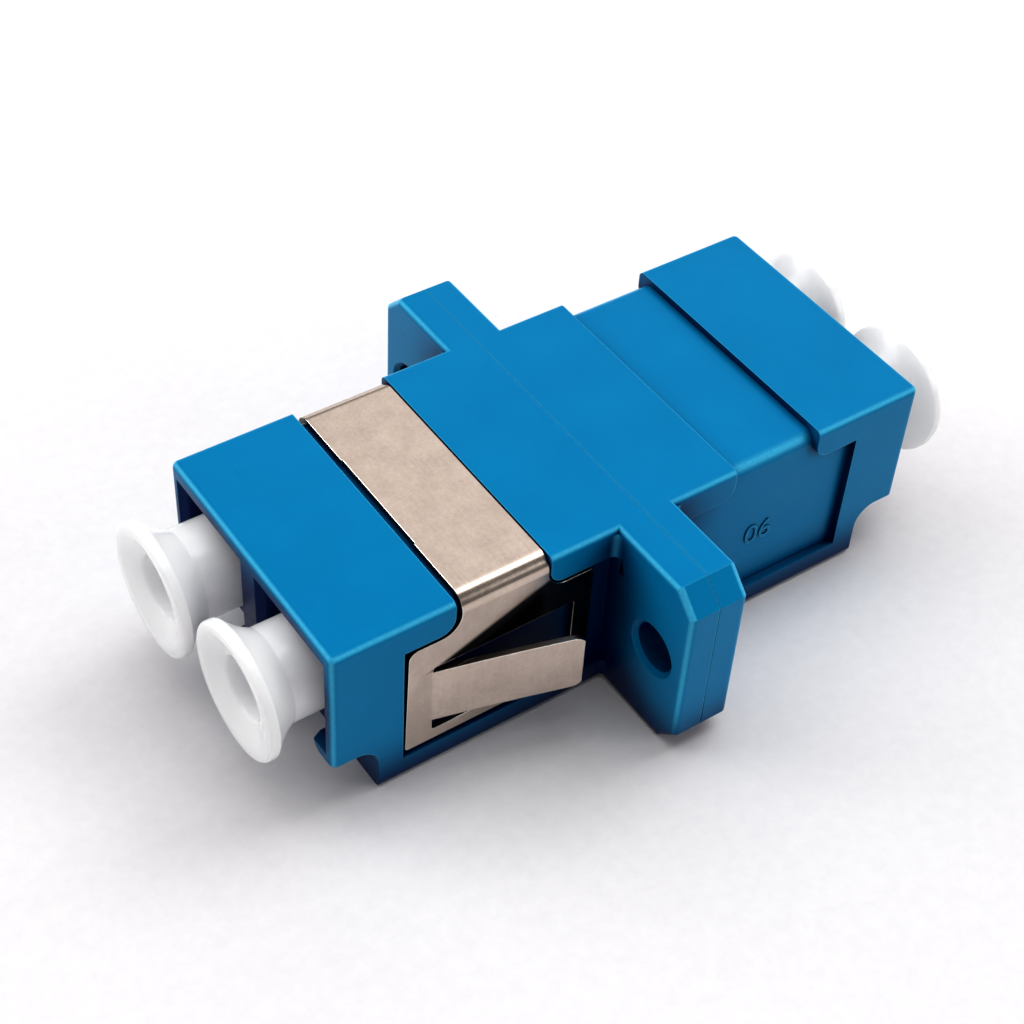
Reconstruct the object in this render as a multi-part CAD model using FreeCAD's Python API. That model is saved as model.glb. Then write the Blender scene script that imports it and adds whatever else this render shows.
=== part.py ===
import FreeCAD, Part
import math
import os

os.makedirs("parts", exist_ok=True)

# Duplex LC fibre adapter with a two-screw flange, a folded spring clip and four dust caps.
# Millimetres. X runs along the fibres, Y across the port pair, Z up.
# The origin is midway between the two screws, on the plane where the housing halves are welded.

# Housing
body_length = 28.8
body_width = 12.4
body_height = 8.9
edge_round = 0.3             # outer edges of the mouldings
parting_chamfer = 0.02       # leaves the fine line between the two halves

# Flange and its screws
flange_thickness = 2.8       # both halves together
flange_corner = 1.0          # bevel on the outer corners of the ears
ear_root_round = 0.35        # where an ear meets the body
screw_pitch = 18.0
ear_beyond_screw = 2.0
screw_hole = 2.2
screw_lead = 0.2
notch_inset = 0.25           # small tapered core mark beside each ear's root
notch_width = 0.4
notch_apex = 0.1             # across, from its inner corner
notch_height = 0.9
notch_depth = 0.5
notch_rise = 2.2

# Ports
port_pitch = 6.25
port_size = 4.6
port_rise = 1.2              # fibre axis above the mid-height
port_lead = 0.3
middle_wall = 3.6            # between the front and the rear ports
ledge_thickness = 0.73       # the catches that hold a plug's latch
ledge_length = 2.7
ledge_round = 0.5
latch_slot_width = 3.3
latch_slot_length = 7.8
lug_pocket_length = 3.0
lug_pocket_depth = 1.6
bottom_wall = 0.85
relief_length = 2.07         # finger room for the latch, under each port mouth
relief_round = 1.0

# Sleeve holders and split sleeves
fibre_bore = 1.25            # ferrule diameter
sleeve_wall = 0.185
sleeve_length = 6.8
sleeve_slit = 0.3
sleeve_play = 0.05           # radial
sleeve_end_play = 0.1
holder_diameter = 2.9
holder_reach = 6.2           # nose of the tube, from the mid-plane
holder_nose_bore = 1.35
holder_lead = 0.35

# Seat of the spring clip, around the body
seat_depth = 0.35
seat_start = 4.56            # from the mid-plane
seat_length = 4.36
seat_edge_ease = 0.1         # the seat is rounder than the inside of the fold
pocket_end = 11.2
pocket_top = 2.95
pocket_bottom = -3.3
shoulder_round = 0.7

# Spring clip
sheet = 0.3
clip_play = 0.04             # between the clip and the flange side of its seat
strip_width = 4.0
strip_step = 0.05            # shear step in the edge beside the port end
strip_step_width = 5.4
clip_bend = 0.75             # outer radius of the folds
plate_gap = 0.25             # between the side plate and the rim of its pocket
plate_foot_gap = 0.27        # the same, under the plate
plate_toe_gap = 0.12         # the same, at the lower corner beside the port end
plate_back = 2.4             # rear edge of the plate, from the mid-plane
plate_round = 0.45           # upper corner of the plate beside the port end
plate_edge_round = 0.15      # its other corners
neck_round = 0.9
column_width = 1.1           # solid bar of the plate in front of the window
window_end_width = 0.85      # bar of the plate behind the window
tongue_top = 1.0
tongue_height = 2.85
tongue_slot = 0.25           # cut above the tongue
tongue_slot_below = 0.6
tongue_length = 6.35
tongue_start_angle = 14.0    # degrees out of the plate
tongue_end_angle = 16.5
tongue_round = 0.5

# Dust caps
cap_length = 13.0
cap_disc = 5.85
cap_rim = 0.45
cap_rim_bevel = 0.12
cap_flare = 1.6
cap_flare_hollow = 0.12      # of the flare, off the straight line from rim to barrel
cap_barrel = 4.0
cap_barrel_lead = 0.2
cap_play = 0.05              # radial, around the sleeve holder
cap_socket = 2.7
cap_socket_depth = 3.6
cap_dish_width = 4.9
cap_dish_depth = 0.45
cap_web = 0.9
cap_stand_out = {            # disc beyond the end face, as each one was pushed in
    "dust_cap_front_a": 2.5,
    "dust_cap_front_b": 2.8,
    "dust_cap_rear_a": 2.2,
    "dust_cap_rear_b": 2.2,
}

# Worked out
half_length = body_length / 2
half_width = body_width / 2
half_height = body_height / 2
half_flange = flange_thickness / 2
flange_width = screw_pitch + 2 * ear_beyond_screw
port_floor = port_rise - port_size / 2
ledge_bottom = port_floor - ledge_thickness
seat_top = half_height - seat_depth
seat_side = half_width - seat_depth
seat_end = seat_start + seat_length
seat_edge_round = clip_bend - sheet + seat_edge_ease
port_side = {"a": -port_pitch / 2, "b": port_pitch / 2}
tiny = 0.001                 # length tolerance when edges are picked
over = 1.0                   # how far cutters stand proud


def vector(x, y, z):
    return FreeCAD.Vector(x, y, z)


def box(x_span, y_span, z_span):
    size = [span[1] - span[0] for span in (x_span, y_span, z_span)]
    return Part.makeBox(*size, vector(x_span[0], y_span[0], z_span[0]))


def rod(radius, start, direction, length):
    return Part.makeCylinder(radius, length, start, direction)


def rounded_face(corners, place):
    """Face inside corners (u, v, radius), where place(u, v) gives the point in space."""
    edges = []
    spots = []
    count = len(corners)
    for number, (u, v, radius) in enumerate(corners):
        corner = vector(u, v, 0)
        before = vector(*corners[number - 1][:2], 0) - corner
        after = vector(*corners[(number + 1) % count][:2], 0) - corner
        if radius == 0:
            spots.append((corner, corner, corner))
            continue
        half_angle = before.getAngle(after) / 2
        before.normalize()
        after.normalize()
        reach = radius / math.tan(half_angle)
        bisector = before + after
        bisector.normalize()
        middle = corner + bisector * (radius / math.sin(half_angle) - radius)
        spots.append((corner + before * reach, middle, corner + after * reach))
    for number, (start, middle, end) in enumerate(spots):
        following = spots[(number + 1) % count][0]
        if (end - start).Length > tiny:
            arc_points = [place(spot.x, spot.y) for spot in (start, middle, end)]
            edges.append(Part.Arc(*arc_points).toShape())
        edges.append(Part.makeLine(place(end.x, end.y), place(following.x, following.y)))
    return Part.Face(Part.Wire(edges))


def prism_along_x(corners, x_from, x_to):
    face = rounded_face(corners, lambda y, z: vector(x_from, y, z))
    return face.extrude(vector(x_to - x_from, 0, 0))


def prism_along_y(corners, y_from, y_to):
    face = rounded_face(corners, lambda x, z: vector(x, y_from, z))
    return face.extrude(vector(0, y_to - y_from, 0))


def rectangle(u_span, v_span, radius=0):
    return [
        (u_span[0], v_span[0], radius),
        (u_span[1], v_span[0], radius),
        (u_span[1], v_span[1], radius),
        (u_span[0], v_span[1], radius),
    ]


def edges_at_x(shape, x):
    return [edge for edge in shape.Edges if all(abs(spot.X - x) < tiny for spot in edge.Vertexes)]


def turned(shape):
    """The same shape at the front of the adapter: half a turn about Z."""
    return shape.rotated(vector(0, 0, 0), vector(0, 0, 1), 180)


def mirrored(shape):
    return shape.mirror(vector(0, 0, 0), vector(0, 1, 0))


# Housing half, modelled as the rear one

def body_block():
    section = rectangle((-half_width, half_width), (-half_height, half_height), edge_round)
    block = prism_along_x(section, half_flange / 2, half_length)
    return block.makeFillet(edge_round, edges_at_x(block, half_length))


def flange_plate():
    side = flange_width / 2
    shoulder = side - flange_corner
    rise = half_height - flange_corner
    section = [
        (-shoulder, -half_height, 0),
        (shoulder, -half_height, 0),
        (side, -rise, 0),
        (side, rise, 0),
        (shoulder, half_height, 0),
        (-shoulder, half_height, 0),
        (-side, rise, 0),
        (-side, -rise, 0),
    ]
    plate = prism_along_x(section, 0, half_flange)
    plate = plate.makeFillet(edge_round, edges_at_x(plate, half_flange))
    return plate.makeChamfer(parting_chamfer, edges_at_x(plate, 0))


def ear_root():
    """Concave round between the rear face of an ear and the side of the body."""
    reach = ear_root_round + edge_round
    x_span = (half_flange - edge_round, half_flange + ear_root_round)
    y_span = (half_width - edge_round, half_width + ear_root_round)
    wedge = box(x_span, y_span, (edge_round - half_height, half_height - edge_round))
    axis_foot = vector(half_flange + ear_root_round, half_width + ear_root_round, -half_height)
    hollow = rod(ear_root_round, axis_foot, vector(0, 0, 1), body_height + reach)
    return wedge.cut(hollow)


def clip_seat():
    """Shallow T-shaped channel over the top and down both sides, where a clip can sit."""
    tee = [
        (half_flange, pocket_bottom, 0),
        (pocket_end, pocket_bottom, 0),
        (pocket_end, pocket_top, 0),
        (seat_end, pocket_top, shoulder_round),
        (seat_end, half_height + over, 0),
        (seat_start, half_height + over, 0),
        (seat_start, pocket_top, shoulder_round),
        (half_flange, pocket_top, 0),
    ]
    channel = prism_along_y(tee, -half_width - over, half_width + over)
    core_section = [
        (-seat_side, -half_height - over, 0),
        (seat_side, -half_height - over, 0),
        (seat_side, seat_top, seat_edge_round),
        (-seat_side, seat_top, seat_edge_round),
    ]
    core = prism_along_x(core_section, 0, half_length)
    return channel.cut(core)


def mouth_relief():
    """Finger room under the port mouths: the floor of the body stops short of the end face."""
    start = half_length - relief_length
    section = [
        (start, -half_height - over, 0),
        (half_length + over, -half_height - over, 0),
        (half_length + over, ledge_bottom, 0),
        (start, ledge_bottom, relief_round),
    ]
    return prism_along_y(section, -half_width - over, half_width + over)


def port_cavity(side):
    """Square plug bore with its lead-in, latch slot and the pocket behind the two catches."""
    half_port = port_size / 2
    y_span = (side - half_port, side + half_port)
    z_span = (port_floor, port_rise + half_port)
    bore = box((middle_wall / 2, half_length + over), y_span, z_span)
    wide = half_port + port_lead
    mouth_near = rounded_face(
        rectangle((side - wide, side + wide), (port_rise - wide, port_rise + wide)),
        lambda y, z: vector(half_length, y, z))
    mouth_far = rounded_face(
        rectangle(y_span, z_span),
        lambda y, z: vector(half_length - port_lead, y, z))
    lead = Part.makeLoft([mouth_near.OuterWire, mouth_far.OuterWire], True)
    half_slot = latch_slot_width / 2
    slot = box((half_length - latch_slot_length, half_length + over),
               (side - half_slot, side + half_slot),
               (bottom_wall - half_height, port_rise))
    pocket_start = half_length - ledge_length
    pocket = box((pocket_start - lug_pocket_length, pocket_start),
                 y_span, (port_floor - lug_pocket_depth, port_rise))
    cavity = bore.fuse([lead, slot, pocket, catch_rounding(side, half_slot)])
    return cavity.cut(sleeve_holder(side))


def catch_rounding(side, half_slot):
    """What the rounded lower edges of the two catches leave free beside the latch slot."""
    reach = half_slot + ledge_round
    x_span = (half_length - relief_length, half_length + over)
    free = box(x_span, (side - reach, side + reach), (ledge_bottom, ledge_bottom + ledge_round))
    for direction in (-1, 1):
        foot = vector(x_span[0], side + direction * reach, ledge_bottom + ledge_round)
        free = free.cut(rod(ledge_round, foot, vector(1, 0, 0), x_span[1] - x_span[0]))
    return free


def sleeve_holder(side):
    """Outside of the tube that carries half of a split sleeve, with a bevelled nose."""
    tube = rod(holder_diameter / 2, vector(0, side, port_rise), vector(1, 0, 0), holder_reach)
    return tube.makeChamfer(holder_lead, edges_at_x(tube, holder_reach))


def sleeve_bore(side):
    """Stepped bore of the holder: the sleeve's chamber, the ferrule's nose bore and its lead-in."""
    chamber_radius = fibre_bore / 2 + sleeve_wall + sleeve_play
    nose_radius = holder_nose_bore / 2
    chamber_reach = sleeve_length / 2 + sleeve_end_play
    profile = [
        (-over, 0, 0),
        (-over, chamber_radius, 0),
        (chamber_reach, chamber_radius, 0),
        (chamber_reach, nose_radius, 0),
        (holder_reach - holder_lead, nose_radius, 0),
        (holder_reach, nose_radius + holder_lead, 0),
        (holder_reach + over, nose_radius + holder_lead, 0),
        (holder_reach + over, 0, 0),
    ]
    face = rounded_face(profile, lambda x, r: vector(x, side, port_rise + r))
    bore = face.revolve(vector(0, side, port_rise), vector(1, 0, 0), 360)
    return bore.common(box((0, holder_reach + over), (side - over, side + over),
                           (port_rise - over, port_rise + over)))


def screw_hole_cutter(y):
    radius = screw_hole / 2
    hole = rod(radius, vector(-over, y, 0), vector(1, 0, 0), half_flange + 2 * over)
    lead = Part.makeCone(radius, radius + screw_lead + over, screw_lead + over,
                         vector(half_flange - screw_lead, y, 0), vector(1, 0, 0))
    return hole.fuse(lead)


def ear_notch():
    """Small three-cornered core mark in the face of an ear, close to the body."""
    inner = half_width + notch_inset
    section = [
        (inner, notch_rise, 0),
        (inner + notch_width, notch_rise, 0),
        (inner + notch_apex, notch_rise + notch_height, 0),
    ]
    return prism_along_x(section, half_flange - notch_depth, half_flange + over)


def housing_half():
    root = ear_root()
    half = body_block().fuse([flange_plate(), root, mirrored(root)])
    notch = ear_notch()
    cutters = [clip_seat(), mouth_relief(), notch, mirrored(notch)]
    cutters += [screw_hole_cutter(sign * screw_pitch / 2) for sign in (-1, 1)]
    cutters += [port_cavity(side) for side in port_side.values()]
    cutters += [sleeve_bore(side) for side in port_side.values()]
    half = half.cut(cutters)
    return half.removeSplitter()


# Split sleeve: a slit ceramic tube that lines two ferrules up

def split_sleeve(side):
    start = vector(-sleeve_length / 2, side, port_rise)
    along = vector(1, 0, 0)
    inner = fibre_bore / 2
    outer = inner + sleeve_wall
    tube = rod(outer, start, along, sleeve_length).cut(rod(inner, start, along, sleeve_length))
    slit = box((-sleeve_length, sleeve_length),
               (side - sleeve_slit / 2, side + sleeve_slit / 2),
               (port_rise, port_rise + outer + over))
    return tube.cut(slit)


# Spring clip, modelled in the rear half's seat and then turned to the front

def clip_wrap():
    """The folded sheet before its outline is cut: strip over the top, a leg down each side."""
    strip_top = seat_top + sheet
    leg_side = seat_side + sheet
    foot = pocket_bottom + plate_foot_gap
    outer_section = [
        (-leg_side, foot, 0),
        (leg_side, foot, 0),
        (leg_side, strip_top, clip_bend),
        (-leg_side, strip_top, clip_bend),
    ]
    inner_section = [
        (-seat_side, foot - over, 0),
        (seat_side, foot - over, 0),
        (seat_side, seat_top, clip_bend - sheet),
        (-seat_side, seat_top, clip_bend - sheet),
    ]
    outer = prism_along_x(outer_section, 0, half_length)
    return outer.cut(prism_along_x(inner_section, 0, half_length))


def clip_outline():
    """T-shape of the clip seen from the side: narrow strip above, wide plate below."""
    strip_start = seat_start + clip_play
    plate_front = pocket_end - plate_gap
    plate_top = pocket_top - plate_gap
    plate_foot = pocket_bottom + plate_foot_gap
    tee = [
        (plate_back, plate_foot, plate_edge_round),
        (pocket_end - plate_toe_gap, plate_foot, plate_edge_round),
        (plate_front, plate_top, plate_round),
        (strip_start + strip_width, plate_top, neck_round),
        (strip_start + strip_width, half_height + over, 0),
        (strip_start, half_height + over, 0),
        (strip_start, plate_top, neck_round),
        (plate_back, plate_top, plate_edge_round),
    ]
    return prism_along_y(tee, -half_width - over, half_width + over)


def strip_shear_step():
    """Shallow set-back in the middle of the strip's edge, left by the shearing tool."""
    edge = seat_start + clip_play + strip_width
    return box((edge - strip_step, edge + over),
               (-strip_step_width / 2, strip_step_width / 2), (seat_top - over, seat_top + over))


def clip_window():
    """Opening that the tongue was cut and bent out of."""
    x_span = (plate_back + window_end_width, pocket_end - plate_gap - column_width)
    bottom = tongue_top - tongue_height - tongue_slot_below
    section = rectangle(x_span, (bottom, tongue_top + tongue_slot), tongue_slot / 2)
    return prism_along_y(section, -half_width - over, half_width + over)


def clip_tongue():
    """Panel tongue on the +Y side: rooted at the outer end, bowed out and back to the flange."""
    root_x = pocket_end - plate_gap - column_width
    inner_y = seat_side
    middle_angle = math.radians((tongue_start_angle + tongue_end_angle) / 2)
    bow = math.radians(tongue_start_angle - tongue_end_angle)
    sagitta = tongue_length / 2 * math.tan(bow / 4)
    along = vector(-math.cos(middle_angle), math.sin(middle_angle), 0)
    out = vector(math.sin(middle_angle), math.cos(middle_angle), 0)
    bottom = tongue_top - tongue_height
    start = vector(root_x, inner_y, bottom)
    inner_points = [
        start,
        start + along * (tongue_length / 2) + out * sagitta,
        start + along * tongue_length,
    ]
    start_out = vector(math.sin(math.radians(tongue_start_angle)),
                       math.cos(math.radians(tongue_start_angle)), 0) * sheet
    end_out = vector(math.sin(math.radians(tongue_end_angle)),
                     math.cos(math.radians(tongue_end_angle)), 0) * sheet
    outer_points = [
        inner_points[0] + start_out,
        inner_points[1] + out * sheet,
        inner_points[2] + end_out,
    ]
    knee = vector(root_x + column_width / 2, inner_y, bottom)
    knee_out = knee + vector(0, sheet, 0)
    edges = [
        Part.Arc(*inner_points).toShape(),
        Part.makeLine(inner_points[2], outer_points[2]),
        Part.Arc(*reversed(outer_points)).toShape(),
        Part.makeLine(outer_points[0], knee_out),
        Part.makeLine(knee_out, knee),
        Part.makeLine(knee, inner_points[0]),
    ]
    blade = Part.Face(Part.Wire(edges)).extrude(vector(0, 0, tongue_height))
    free_end = min(inner_points[2].x, outer_points[2].x)
    trim = prism_along_y(
        [
            (free_end, bottom, tongue_round),
            (root_x + column_width, bottom, 0),
            (root_x + column_width, tongue_top, 0),
            (free_end, tongue_top, tongue_round),
        ],
        0, flange_width)
    return blade.common(trim)


def spring_clip():
    sheet_part = clip_wrap().common(clip_outline()).cut([clip_window(), strip_shear_step()])
    tongue = clip_tongue()
    clip = sheet_part.fuse([tongue, mirrored(tongue)])
    return turned(clip.removeSplitter())


# Dust cap: one moulding with a flared finger disc outside and a socket over the sleeve holder

def dust_cap(side, stand_out):
    disc = half_length + stand_out
    inner_end = disc - cap_length
    rim_radius = cap_disc / 2
    barrel_radius = cap_barrel / 2
    bore_radius = holder_diameter / 2 + cap_play
    socket_floor = disc - cap_socket_depth

    def spot(x, radius):
        return vector(x, side, port_rise + radius)

    rim_back = (disc - cap_rim, rim_radius)
    flare_root = (disc - cap_flare, barrel_radius)
    flare_hollow = spot((rim_back[0] + flare_root[0]) / 2 + cap_flare_hollow,
                        (rim_radius + barrel_radius) / 2 - cap_flare_hollow)
    flare = Part.BezierCurve()
    flare.setPoles([spot(*rim_back), flare_hollow, spot(*flare_root)])
    profile = [
        flare_root,
        (inner_end + cap_barrel_lead, barrel_radius),
        (inner_end, barrel_radius - cap_barrel_lead),
        (inner_end, bore_radius),
        (socket_floor - cap_web, bore_radius),
        (socket_floor - cap_web, 0),
        (socket_floor, 0),
        (socket_floor, cap_socket / 2),
        (disc - cap_dish_depth, cap_socket / 2),
        (disc, cap_dish_width / 2),
        (disc, rim_radius - cap_rim_bevel),
        (disc - cap_rim_bevel, rim_radius),
        rim_back,
    ]
    edges = [Part.makeLine(spot(*start), spot(*end)) for start, end in zip(profile, profile[1:])]
    face = Part.Face(Part.Wire([flare.toShape()] + edges))
    return face.revolve(spot(0, 0), vector(1, 0, 0), 360)


def build_all():
    rear_half = housing_half()
    shapes = {
        "housing_front": turned(rear_half),
        "housing_rear": rear_half,
        "spring_clip": spring_clip(),
    }
    for letter, side in port_side.items():
        shapes["split_sleeve_" + letter] = split_sleeve(side)
        shapes["dust_cap_rear_" + letter] = dust_cap(side, cap_stand_out["dust_cap_rear_" + letter])
        front_cap = dust_cap(-side, cap_stand_out["dust_cap_front_" + letter])
        shapes["dust_cap_front_" + letter] = turned(front_cap)
    return shapes


for node, shape in build_all().items():
    shape.exportStep("parts/" + node + ".step")
    print(node, len(shape.Solids), shape.isValid(), round(shape.Volume, 3))
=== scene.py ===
from math import cos, pi, radians, sin

import bmesh
import bpy
from mathutils import Matrix, Vector


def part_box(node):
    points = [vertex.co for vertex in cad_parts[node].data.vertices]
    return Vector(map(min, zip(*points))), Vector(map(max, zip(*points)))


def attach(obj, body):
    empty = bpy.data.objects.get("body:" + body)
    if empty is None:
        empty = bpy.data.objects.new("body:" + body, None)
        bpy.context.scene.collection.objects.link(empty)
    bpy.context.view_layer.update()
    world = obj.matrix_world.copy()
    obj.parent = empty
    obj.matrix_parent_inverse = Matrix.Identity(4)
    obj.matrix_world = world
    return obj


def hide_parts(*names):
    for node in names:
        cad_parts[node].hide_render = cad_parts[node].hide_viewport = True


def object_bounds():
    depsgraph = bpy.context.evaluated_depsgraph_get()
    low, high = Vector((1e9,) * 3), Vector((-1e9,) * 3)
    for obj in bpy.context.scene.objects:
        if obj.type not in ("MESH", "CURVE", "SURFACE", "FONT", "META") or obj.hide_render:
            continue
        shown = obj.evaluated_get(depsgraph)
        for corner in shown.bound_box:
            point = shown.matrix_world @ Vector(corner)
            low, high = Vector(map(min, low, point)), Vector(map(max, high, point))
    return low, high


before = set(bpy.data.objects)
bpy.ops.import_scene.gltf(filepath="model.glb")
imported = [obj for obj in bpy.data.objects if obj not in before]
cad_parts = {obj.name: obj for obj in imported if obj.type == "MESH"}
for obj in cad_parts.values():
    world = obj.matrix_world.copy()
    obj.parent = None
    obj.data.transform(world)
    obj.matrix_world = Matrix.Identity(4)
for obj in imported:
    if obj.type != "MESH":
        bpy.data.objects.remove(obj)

# Duplex fibre adapter: two blue mouldings welded at the flange, a folded spring clip
# and four white dust caps. Metres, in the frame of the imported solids.
mm = 0.001
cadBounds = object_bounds()
meshSettings = {"mergeWithin": 0.0005, "smoothBelow": 35}      # mm, degrees


# Meshes

def finishedMesh(name, bm):
    # doubles go first, then normals, so that a spun shell faces outwards
    bmesh.ops.remove_doubles(bm, verts=bm.verts, dist=meshSettings["mergeWithin"] * mm)
    bmesh.ops.recalc_face_normals(bm, faces=bm.faces)
    steepest = radians(meshSettings["smoothBelow"])
    for edge in bm.edges:
        edge.smooth = len(edge.link_faces) != 2 or edge.calc_face_angle() < steepest
    for face in bm.faces:
        face.smooth = True
    mesh = bpy.data.meshes.new(name)
    bm.to_mesh(mesh)
    bm.free()
    piece = bpy.data.objects.new(name, mesh)
    bpy.context.scene.collection.objects.link(piece)
    return piece


def dressed(piece, finish, body):
    piece.data.materials.clear()
    piece.data.materials.append(finish)
    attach(piece, body)
    return piece


# Materials: a Signal is one output of a node, and sums of signals become Math nodes
raySamples = {"bevel": 8, "openness": 10}


class Signal:
    def __init__(self, tree, socket):
        self.tree = tree
        self.socket = socket

    def maths(self, operation, *values):
        node = self.tree.nodes.new("ShaderNodeMath")
        node.operation = operation
        for place, value in enumerate(values):
            if isinstance(value, Signal):
                self.tree.links.new(value.socket, node.inputs[place])
            else:
                node.inputs[place].default_value = value
        return Signal(self.tree, node.outputs[0])

    def __add__(self, other):
        return self.maths("ADD", self, other)

    def __radd__(self, other):
        return self.maths("ADD", other, self)

    def __sub__(self, other):
        return self.maths("SUBTRACT", self, other)

    def __rsub__(self, other):
        return self.maths("SUBTRACT", other, self)

    def __mul__(self, other):
        return self.maths("MULTIPLY", self, other)

    def __rmul__(self, other):
        return self.maths("MULTIPLY", other, self)

    def __abs__(self):
        return self.maths("ABSOLUTE", self)

    def larger(self, other):
        return self.maths("MAXIMUM", self, other)


def distanceOf(first, second):
    # how far a point lies from a centre, from its two offsets
    square = first * first + second * second
    return square.maths("SQRT", square)


def summed(signals, shares):
    # each signal by its share, and one with a share of 0 is left out
    parts = [signal * share for signal, share in zip(signals, shares) if share]
    return sum(parts[1:], parts[0])


class Finish:
    def __init__(self, name, **surface):
        self.material = bpy.data.materials.new(name)
        self.material.use_nodes = True
        self.tree = self.material.node_tree
        self.shader = self.tree.nodes["Principled BSDF"]
        for socket, value in surface.items():
            self.shader.inputs[socket.replace("_", " ")].default_value = value
        self.place = self.node("ShaderNodeTexCoord", output="Object")

    def node(self, kind, settings=(), output=0, **values):
        # settings such as an operation first, then the sockets by name; a list fills
        # the sockets that share one name
        node = self.tree.nodes.new(kind)
        for setting, value in dict(settings).items():
            setattr(node, setting, value)
        for name, value in values.items():
            targets = [socket for socket in node.inputs
                       if socket.name == name.replace("_", " ") and socket.enabled]
            for target, part in zip(targets, value if isinstance(value, list) else [value]):
                if isinstance(part, Signal):
                    self.tree.links.new(part.socket, target)
                else:
                    target.default_value = part
        return Signal(self.tree, node.outputs[output])

    def scaled(self, *perMillimetre):
        # object coordinates stretched so that 1 in a pattern is 1/perMillimetre mm
        return self.node("ShaderNodeMapping", Vector=self.place,
                         Scale=tuple(value / mm for value in perMillimetre))

    def softNormal(self, radius):
        return self.node("ShaderNodeBevel", {"samples": raySamples["bevel"]}, Radius=radius * mm)

    def sharpEdges(self, soft, low, high):
        # 1 on an edge drawn sharp, where the softened normal leaves the face's own
        own = self.node("ShaderNodeNewGeometry", output="Normal")
        likeness = self.node("ShaderNodeVectorMath", {"operation": "DOT_PRODUCT"},
                             output="Value", Vector=[soft, own])
        return self.stretched(1 - likeness, low, high)

    def roundedEdges(self, low, high):
        # 1 on rounds between the square faces, from how far the normal leaves all three axes
        normal = self.node("ShaderNodeTexCoord", output="Normal")
        east, north, up = (abs(self.coordinate(normal, axis)) for axis in "XYZ")
        return self.stretched(1 - east.larger(north).larger(up), low, high)

    def openness(self, reach):
        # 1 where nothing stands within reach, in mm, and towards 0 in a deep corner
        return self.node("ShaderNodeAmbientOcclusion", {"samples": raySamples["openness"]},
                         output="AO", Distance=reach * mm)

    def coordinate(self, position, axis):
        return self.node("ShaderNodeSeparateXYZ", output=axis, Vector=position)

    def noise(self, vector, scale, detail, roughness):
        return self.node("ShaderNodeTexNoise", output="Fac", Vector=vector, Scale=scale,
                         Detail=detail, Roughness=roughness)

    def stretched(self, signal, low, high):
        # a signal from low to high becomes 0 to 1
        return self.node("ShaderNodeMapRange", {"clamp": True}, Value=signal,
                         From_Min=low, From_Max=high, To_Min=0.0, To_Max=1.0)

    def patches(self, vector, scale, detail, roughness, low, high):
        return self.stretched(self.noise(vector, scale, detail, roughness), low, high)

    def blended(self, factor, first, second):
        return self.node("ShaderNodeMix", {"data_type": "RGBA"}, output=2,
                         Factor=factor, A=first, B=second)

    def bump(self, height, distance, under=None):
        # a height of 0 to 1 over a distance in mm, on top of the normal under it
        values = {"Height": height, "Distance": distance * mm, "Strength": 1.0}
        if under:
            values["Normal"] = under
        return self.node("ShaderNodeBump", **values)

    def feed(self, **sockets):
        for socket, signal in sockets.items():
            self.tree.links.new(signal.socket, self.shader.inputs[socket.replace("_", " ")])
        return self.material


def colour(red, green, blue):
    # a swatch given in the 0 to 255 of a colour picker, made linear
    parts = [value / 255 for value in (red, green, blue)]
    linear = [part / 12.92 if part < 0.04045 else ((part + 0.055) / 1.055) ** 2.4 for part in parts]
    return (*linear, 1.0)


# Blue moulded plastic: satin from a fine-polished tool, cloudy where the melt cooled,
# paler where edges carry a painted highlight and some rub, and painted shade in the corners that
# light hardly reaches
bluePlastic = {
    # the pale edge colour is a painted highlight with some rub; the dark navy is painted shade for
    # the corners
    "deep": (0, 126, 176), "light": (2, 134, 185), "rubbedHighlight": (84, 198, 236), "paintedShade": (0, 14, 74),
    "roughness": 0.26, "roughnessSpread": 0.12,
    # patches: how many in a mm, detail, roughness, and the two levels that become 0 and 1
    "clouds": (0.28, 4, 0.55, 0.3, 0.7), "cloudShare": 0.6,
    "flecks": (9, 2, 0.6, 0.25, 0.75),
    "sheen": (1.3, 3, 0.6, 0.3, 0.7), "sheenShare": 0.6,
    # pairs are where a mask is 0 and where it is 1
    # the edge masks, how open an edge must be and the shares set the painted edge highlight with its
    # rub
    "sharpEdge": (0.01, 0.15), "rounds": (0.03, 0.2), "openEdge": (0.65, 0.9),
    "rubHighlightShare": 0.75, "rubHighlightLeast": 0.8, "rubHighlightFlecks": 0.4,
    # the reach, the two corner pairs and the sky share set the painted corner shade
    "paintedShadeReach": 3.4, "corner": (0.58, 0.93), "deepCornerShade": (0.42, 0.68), "skyShare": 0.7,
    "screwHole": 9.0, "screwLead": (1.4, 1.5), "earBevel": (9.9, 9.95), "slant": (0.05, 0.2),
    "edgeRadius": 0.09,      # mm, what the tool leaves on edges drawn sharp
    "waves": (0.5, 2, 0.5), "waveDepth": 0.004,      # slow unevenness of the walls
    "grain": (22, 2, 0.5), "grainDepth": 0.0012,
    "gates": ((-12.25, 4.25), (8.44, 1.26)), "gateEdge": (0.224, 0.32), "gateDepth": 0.012,
    "gateTop": (3.5, 3.6),
}


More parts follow.
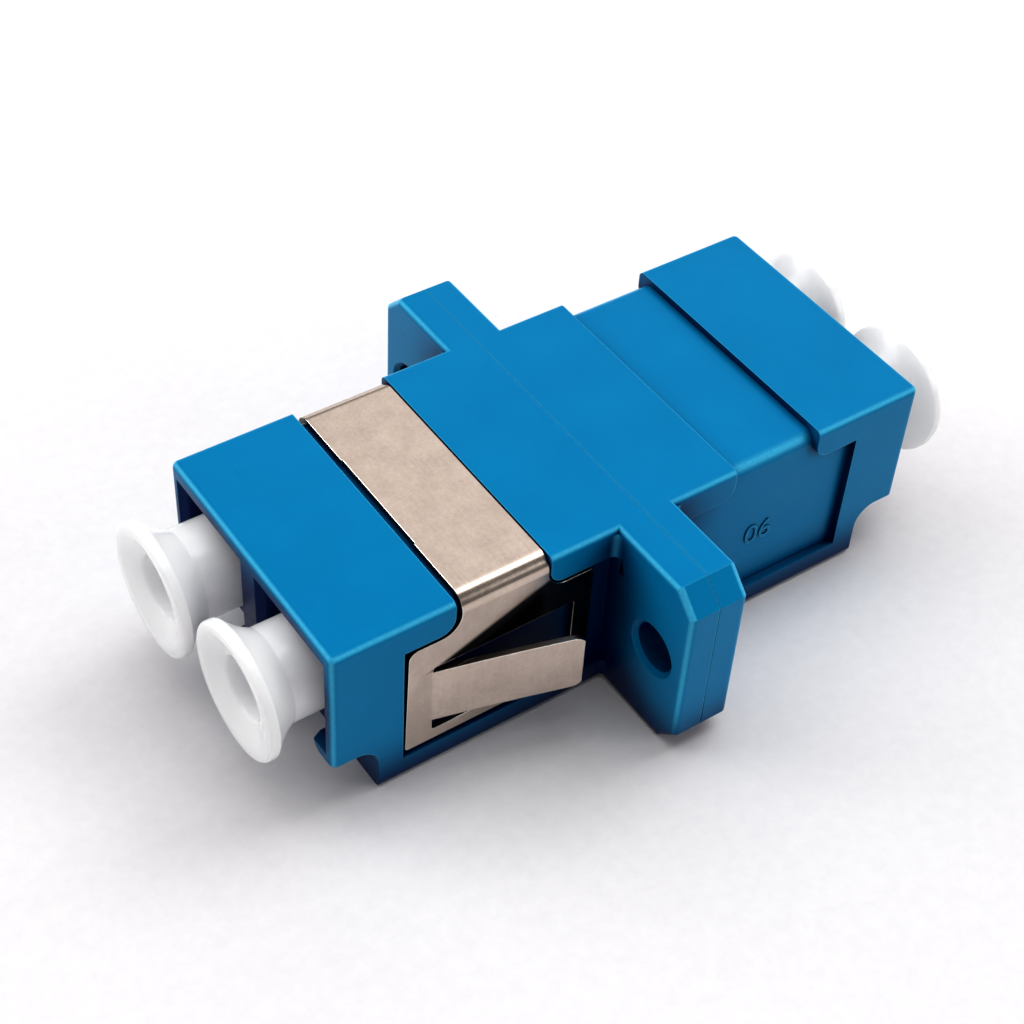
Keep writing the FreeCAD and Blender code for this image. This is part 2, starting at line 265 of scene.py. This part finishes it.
def blueFinish(settings):
    finish = Finish("blue_moulded_plastic", IOR=1.5, Specular_IOR_Level=0.17,
                    Specular_Tint=(0.05, 0.7, 1.0, 1.0))
    position = finish.scaled(1, 1, 1)
    clouds = finish.patches(position, *settings["clouds"])
    flecks = finish.patches(position, *settings["flecks"])
    soft = finish.softNormal(settings["edgeRadius"])
    sharpEdge = finish.sharpEdges(soft, *settings["sharpEdge"])
    # neither the flat bevels of the ears nor the leads of the screw holes get the painted edge
    # highlight and rub
    facing = finish.node("ShaderNodeTexCoord", output="Normal")
    side = abs(finish.coordinate(position, "Y"))
    inside = 1 - finish.stretched(side, *settings["earBevel"])
    slant = finish.stretched(abs(finish.coordinate(facing, "X")), *settings["slant"])
    height = finish.coordinate(position, "Z")
    fromHole = distanceOf(side - settings["screwHole"], height)
    lead = finish.stretched(fromHole, *settings["screwLead"])
    rounds = finish.roundedEdges(*settings["rounds"]) * inside.larger(slant) * lead
    openness = finish.openness(settings["paintedShadeReach"])
    edges = sharpEdge.larger(rounds) * finish.stretched(openness, *settings["openEdge"])
    mottle = clouds * settings["cloudShare"] + flecks * (1 - settings["cloudShare"])
    moulded = finish.blended(mottle, colour(*settings["deep"]), colour(*settings["light"]))
    # open edges get a painted highlight, with some rub, in the pale colour
    rubHighlightShare = edges * (flecks * settings["rubHighlightFlecks"] + settings["rubHighlightLeast"]) * settings["rubHighlightShare"]
    rubbedHighlight = finish.blended(rubHighlightShare, moulded, colour(*settings["rubbedHighlight"]))
    # painted shade darkens the corners, though faces turned up keep a share of light unless they lie
    # deep
    sky = finish.stretched(finish.coordinate(facing, "Z"), 0, 1) * settings["skyShare"]
    corner = (1 - finish.stretched(openness, *settings["corner"])) * (1 - sky)
    deep = 1 - finish.stretched(openness, *settings["deepCornerShade"])
    base = finish.blended(corner.larger(deep), rubbedHighlight, colour(*settings["paintedShade"]))
    sheen = finish.patches(position, *settings["sheen"])
    unevenness = sheen * settings["sheenShare"] + flecks * (1 - settings["sheenShare"])
    roughness = unevenness * settings["roughnessSpread"] + settings["roughness"]
    waves = finish.bump(finish.noise(position, *settings["waves"]), settings["waveDepth"], soft)
    surface = finish.bump(finish.noise(position, *settings["grain"]), settings["grainDepth"], waves)
    # trimmed gate scars on the top: the distance from each centre makes a shallow disc
    onTop = finish.stretched(height, *settings["gateTop"])
    for east, north in settings["gates"]:
        distance = distanceOf(finish.coordinate(position, "X") - east,
                              finish.coordinate(position, "Y") - north)
        scar = (1 - finish.stretched(distance, *settings["gateEdge"])) * onTop
        surface = finish.bump(scar, settings["gateDepth"], surface)
    return finish.feed(Base_Color=base, Roughness=roughness, Normal=surface)


# Stainless spring sheet: rolled grain along the strip, faint handling clouds, a painted glint with
# some rub on the edges, painted shade in corners and a painted dark reflection round the tongue
springSteel = {
    # the near-white edge colour is a painted glint with some rub
    "bright": (229, 213, 201), "dull": (187, 171, 159), "rubbedHighlight": (255, 250, 246),
    # the near-black is painted shade for the corners and the painted dark reflection round the
    # tongue
    "paintedShade": (10, 9, 20), "paintedShadeReach": 1.6, "corner": (0.3, 0.8),
    "roughness": 0.19, "roughnessSpread": 0.05,
    "lineScale": (14, 0.7, 0.7), "lines": (1, 3, 0.6, 0.25, 0.75),
    "clouds": (0.9, 5, 0.65, 0.3, 0.7), "specks": (7, 3, 0.7, 0.2, 0.8),
    "colourShares": (0.2, 0.4, 0.4), "roughnessShares": (0.3, 0.3, 0.4),      # lines, clouds, specks
    "grainShares": (0.5, 0.0, 0.5), "grainDepth": 0.0004,
    # mm in the clip, bounding the painted dark reflection: the slope and foot of its neck, the
    # slot's top, the post and the plates
    "neckSlope": 0.387, "neckFoot": 5.0, "neck": (-0.1, 0.1),
    "slotTop": (1.05, 1.15), "post": (-3.4, -3.3), "plateSide": (6.4, 6.5),
    "edgeRadius": 0.055,     # mm, the sheared edges are broken by tumbling
    "sharpEdge": (0.01, 0.12), "rubHighlightShare": 0.9,
}


def steelFinish(settings):
    finish = Finish("stainless_spring_sheet", Metallic=1.0)
    across = finish.scaled(*settings["lineScale"])
    position = finish.scaled(1, 1, 1)
    marks = [finish.patches(across, *settings["lines"]),
             finish.patches(position, *settings["clouds"]),
             finish.patches(position, *settings["specks"])]
    soft = finish.softNormal(settings["edgeRadius"])
    rolled = finish.blended(summed(marks, settings["colourShares"]),
                            colour(*settings["dull"]), colour(*settings["bright"]))
    # below the neck the frame round the tongue is painted dark, a painted reflection of the shaded
    # corner by the flange
    along = finish.coordinate(position, "X")
    height = finish.coordinate(position, "Z")
    side = abs(finish.coordinate(position, "Y"))
    aboveNeck = finish.stretched(height - along * settings["neckSlope"] - settings["neckFoot"],
                                 *settings["neck"])
    reflectionBand = finish.stretched(height, *settings["slotTop"]) * (1 - aboveNeck)
    post = (finish.stretched(along, *settings["post"])
            * (1 - finish.stretched(side, *settings["plateSide"])))
    # painted shade in the corners, in the near-black colour
    corner = 1 - finish.stretched(finish.openness(settings["paintedShadeReach"]), *settings["corner"])
    paintedShadeAndReflection = finish.blended(corner.larger(reflectionBand.larger(post)), rolled, colour(*settings["paintedShade"]))
    # sharp edges get a painted glint, with some rub, in the near-white colour
    base = finish.blended(finish.sharpEdges(soft, *settings["sharpEdge"]) * settings["rubHighlightShare"],
                          paintedShadeAndReflection, colour(*settings["rubbedHighlight"]))
    unevenness = summed(marks, settings["roughnessShares"])
    roughness = unevenness * settings["roughnessSpread"] + settings["roughness"]
    grain = finish.bump(summed(marks, settings["grainShares"]), settings["grainDepth"], soft)
    return finish.feed(Base_Color=base, Roughness=roughness, Normal=grain)


# White dust caps: soft polyethylene, a little light passes into it
capPlastic = {
    # the cool barrel colour is a painted blue cast of light from the housing
    "white": (253, 251, 254), "shade": (250, 248, 252), "paintedBlueCast": (246, 248, 255),
    "clouds": (0.6, 3, 0.5, 0.3, 0.7), "cloudShare": 0.7, "specks": (12, 2, 0.5, 0.25, 0.75),
    "thin": (14.6, 15.4),    # mm from the mid-plane: the flares and discs lie beyond
    "lightReach": 1.2,       # mm that light travels inside
    "roughness": 0.15, "roughnessSpread": 0.08,
    "grainDepth": 0.0015,    # mm
}


def capFinish(settings):
    finish = Finish("white_polyethylene", IOR=1.51, Specular_IOR_Level=0.5,
                    Subsurface_Weight=1.0, Subsurface_Scale=settings["lightReach"] * mm,
                    Subsurface_Radius=(1.0, 1.0, 1.0))
    position = finish.scaled(1, 1, 1)
    clouds = finish.patches(position, *settings["clouds"])
    specks = finish.patches(position, *settings["specks"])
    mottle = clouds * settings["cloudShare"] + specks * (1 - settings["cloudShare"])
    disc = finish.blended(mottle, colour(*settings["shade"]), colour(*settings["white"]))
    # the barrels are painted cooler than the thin discs, a painted blue cast of light thrown from
    # the housing
    thin = finish.stretched(abs(finish.coordinate(position, "X")), *settings["thin"])
    base = finish.blended(thin, colour(*settings["paintedBlueCast"]), disc)
    roughness = specks * settings["roughnessSpread"] + settings["roughness"]
    grain = finish.bump(specks, settings["grainDepth"])
    return finish.feed(Base_Color=base, Roughness=roughness, Normal=grain)


# Zirconia sleeves: dense, polished and faintly cream
ceramicSettings = {
    "white": (240, 236, 224), "cream": (232, 226, 210), "clouds": (3, 3, 0.6, 0.3, 0.7),
    "roughness": 0.12, "roughnessSpread": 0.08,
}


def ceramicFinish(settings):
    finish = Finish("zirconia", IOR=2.1, Specular_IOR_Level=0.5)
    clouds = finish.patches(finish.scaled(1, 1, 1), *settings["clouds"])
    base = finish.blended(clouds, colour(*settings["cream"]), colour(*settings["white"]))
    roughness = clouds * settings["roughnessSpread"] + settings["roughness"]
    return finish.feed(Base_Color=base, Roughness=roughness)


blue = blueFinish(bluePlastic)
steel = steelFinish(springSteel)
white = capFinish(capPlastic)
ceramic = ceramicFinish(ceramicSettings)
nodeFinishes = {
    "housing_front": blue, "housing_rear": blue, "spring_clip": steel,
    "split_sleeve_a": ceramic, "split_sleeve_b": ceramic,
}
for node, finish in nodeFinishes.items():
    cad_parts[node].data.materials.clear()
    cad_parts[node].data.materials.append(finish)
print("finishes made")


# Dust caps: one profile from the socket's floor round to the bore, spun about the port's axis
capSettings = {              # mm, depths are measured in from the finger disc's face
    "rim": 0.45, "rimRound": 0.15, "flare": 1.6, "flareHollow": 0.12, "rootRound": 0.05,
    "barrel": 4.0, "barrelLead": 0.2, "bore": 3.0,
    "dishWidth": 4.9, "dishDepth": 0.45, "dishRound": 0.12,
    "socket": 2.7, "socketDepth": 3.6, "socketRound": 0.12,
    "web": 0.9, "turns": 128, "roundSegments": 6, "flareSegments": 10,
}


def flareCurve(start, end, hollow, segments):
    # quadratic curve from the rim to the barrel, drawn in towards the disc and the axis
    middle = ((start[0] + end[0]) / 2 - hollow, (start[1] + end[1]) / 2 - hollow)
    for step in range(1, segments):
        t = step / segments
        yield tuple((1 - t) ** 2 * a + 2 * t * (1 - t) * b + t * t * c
                    for a, b, c in zip(start, middle, end))


def dustCap(name, node, body, settings):
    low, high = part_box(node)
    outward = -1 if low.x + high.x < 0 else 1
    disc = high.x if outward > 0 else low.x
    length = (high.x - low.x) / mm
    radius = (high.y - low.y) / 2 / mm
    axis = Vector((0, (low.y + high.y) / 2, (low.z + high.z) / 2))
    barrel = settings["barrel"] / 2
    bore = settings["bore"] / 2
    socket = settings["socket"] / 2
    socketEnd = settings["socketDepth"]
    flare = flareCurve((settings["rim"], radius), (settings["flare"], barrel),
                       settings["flareHollow"], settings["flareSegments"])
    profile = [              # depth, radius, rounding
        (socketEnd, 0, 0),
        (socketEnd, socket, settings["socketRound"]),
        (settings["dishDepth"], socket, settings["socketRound"]),
        (0, settings["dishWidth"] / 2, settings["dishRound"]),
        (0, radius, settings["rimRound"]),
        (settings["rim"], radius, settings["rootRound"]),
        *[(depth, distance, 0) for depth, distance in flare],
        (settings["flare"], barrel, settings["rootRound"]),
        (length - settings["barrelLead"], barrel, settings["rootRound"]),
        (length, barrel - settings["barrelLead"], settings["rootRound"]),
        (length, bore, settings["rootRound"]),
        (socketEnd + settings["web"], bore, settings["rootRound"]),
        (socketEnd + settings["web"], 0, 0),
    ]
    bm = bmesh.new()
    spots = []
    for depth, distance, _ in profile:
        spots.append(bm.verts.new(axis + Vector((disc - outward * depth * mm, 0, distance * mm))))
    for first, second in zip(spots, spots[1:]):
        bm.edges.new((first, second))
    for spot, (_, _, rounding) in zip(spots, profile):
        if rounding:
            bmesh.ops.bevel(bm, geom=[spot], offset=rounding * mm, offset_type="OFFSET",
                            segments=settings["roundSegments"], profile=0.5, affect="VERTICES",
                            material=-1)
    bmesh.ops.spin(bm, geom=bm.verts[:] + bm.edges[:], cent=axis, axis=(1, 0, 0),
                   angle=2 * pi, steps=settings["turns"], use_merge=True, use_duplicate=False)
    piece = dressed(finishedMesh(name, bm), white, body)
    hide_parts(node)


for end in ("front", "rear"):
    for letter in ("a", "b"):
        dustCap(f"cap_{end}_{letter}_moulding", f"dust_cap_{end}_{letter}",
                f"cap_{end}_{letter}", capSettings)
print("dust caps spun")


# Raised cavity number on the floor of the rear pocket, near side
numberSettings = {"text": "06", "size": 1.5, "relief": 0.05,
                  "place": (5.9, -5.85, -0.85)}      # mm


def cavityNumber(settings):
    letters = bpy.data.curves.new("cavity_number", "FONT")
    letters.body = settings["text"]
    letters.size = settings["size"] * mm
    letters.extrude = settings["relief"] * mm
    carrier = bpy.data.objects.new("carrier", letters)
    bpy.context.scene.collection.objects.link(carrier)
    bm = bmesh.new()
    bm.from_mesh(carrier.to_mesh())
    bpy.data.objects.remove(carrier)
    place = Matrix.Translation(Vector(settings["place"]) * mm)
    bmesh.ops.transform(bm, matrix=place @ Matrix.Rotation(pi / 2, 4, "X"), verts=bm.verts)
    dressed(finishedMesh("cavity_number", bm), blue, "adapter")


cavityNumber(numberSettings)
print("number raised")


# Table, light and camera
stageSettings = {            # mm: the floor lies a hair below the underside
    "reach": 700, "gap": 0.02, "swatch": (238, 236, 237), "swatchDark": (232, 230, 232),
    "paper": (1.6, 4, 0.7, 0.25, 0.75), "grain": (3, 3, 0.6), "grainDepth": 0.006,
}


def table(settings):
    bm = bmesh.new()
    bmesh.ops.create_grid(bm, x_segments=1, y_segments=1, size=settings["reach"] * mm)
    height = cadBounds[0].z - settings["gap"] * mm
    bmesh.ops.translate(bm, verts=bm.verts, vec=(0, 0, height))
    floor = finishedMesh("table", bm)
    finish = Finish("pale_table", Roughness=0.6, Specular_IOR_Level=0.2)
    position = finish.scaled(1, 1, 1)
    paper = finish.patches(position, *settings["paper"])
    base = finish.blended(paper, colour(*settings["swatchDark"]), colour(*settings["swatch"]))
    grain = finish.bump(finish.noise(position, *settings["grain"]), settings["grainDepth"])
    floor.data.materials.append(finish.feed(Base_Color=base, Normal=grain))


lights = {                   # degrees round from +X and up, then mm across and watts
    "ceiling": {"bearing": 0, "height": 90, "size": 300, "power": 0.52},
    "lamp_rear_right": {"bearing": 45, "height": 55, "size": 500, "power": 0.55},
    "lamp_right": {"bearing": 0, "height": 55, "size": 260, "power": 0.60},
    "lamp_rear_left": {"bearing": 135, "height": 55, "size": 260, "power": 0.49},
    "window_rear_left": {"bearing": 135, "height": 25, "size": 220, "power": 0.60},
    "window_far": {"bearing": 0, "height": 25, "size": 220, "power": 0.15},
    "window_behind": {"bearing": 65, "height": 9, "size": 150, "power": 0.06},
    "window_right": {"bearing": -45, "height": 25, "size": 220, "power": 0.34},
    "window_front": {"bearing": -127, "height": 22, "size": 300, "power": 0.10},
}
lightDistance = 450 * mm
worldSettings = {"colour": (1.0, 1.0, 1.0, 1.0), "strength": 0.19, "gamma": 0.8}


def areaLight(name, settings):
    data = bpy.data.lights.new(name, "AREA")
    data.shape = "DISK"
    data.size = settings["size"] * mm
    data.energy = settings["power"]
    bearing = radians(settings["bearing"])
    height = radians(settings["height"])
    lamp = bpy.data.objects.new(name, data)
    lamp.location = lightDistance * Vector(
        (cos(bearing) * cos(height), sin(bearing) * cos(height), sin(height)))
    lamp.rotation_euler = lamp.location.to_track_quat("Z", "Y").to_euler()
    bpy.context.scene.collection.objects.link(lamp)


cameraSettings = {           # mm and degrees
    "aim": (-1.527, 0.584, -0.450), "azimuth": -37.068, "elevation": 45.202, "roll": 3.902,
    "distance": 85.474, "lens": 70.82, "sensor": 36.0, "nearest": 5, "farthest": 5000,
}


def viewpoint(settings):
    azimuth = radians(settings["azimuth"])
    elevation = radians(settings["elevation"])
    back = Vector((sin(azimuth) * cos(elevation), -cos(azimuth) * cos(elevation), sin(elevation)))
    right = Vector((0, 0, 1)).cross(back).normalized()
    level = Matrix((right, back.cross(right), back)).transposed()
    turn = level @ Matrix.Rotation(radians(settings["roll"]), 3, "Z")
    data = bpy.data.cameras.new("camera")
    data.sensor_width = settings["sensor"]
    data.lens = settings["lens"]
    data.clip_start = settings["nearest"] * mm
    data.clip_end = settings["farthest"] * mm
    camera = bpy.data.objects.new("camera", data)
    place = (Vector(settings["aim"]) + back * settings["distance"]) * mm
    camera.matrix_world = Matrix.Translation(place) @ turn.to_4x4()
    bpy.context.scene.collection.objects.link(camera)
    bpy.context.scene.camera = camera


table(stageSettings)
for name, settings in lights.items():
    areaLight(name, settings)
world = bpy.data.worlds.new("studio")
world.use_nodes = True
background = world.node_tree.nodes["Background"]
background.inputs["Color"].default_value = worldSettings["colour"]
background.inputs["Strength"].default_value = worldSettings["strength"]
bpy.context.scene.world = world
bpy.context.scene.view_settings.view_transform = "Standard"
bpy.context.scene.view_settings.gamma = worldSettings["gamma"]
viewpoint(cameraSettings)
print("stage lit")
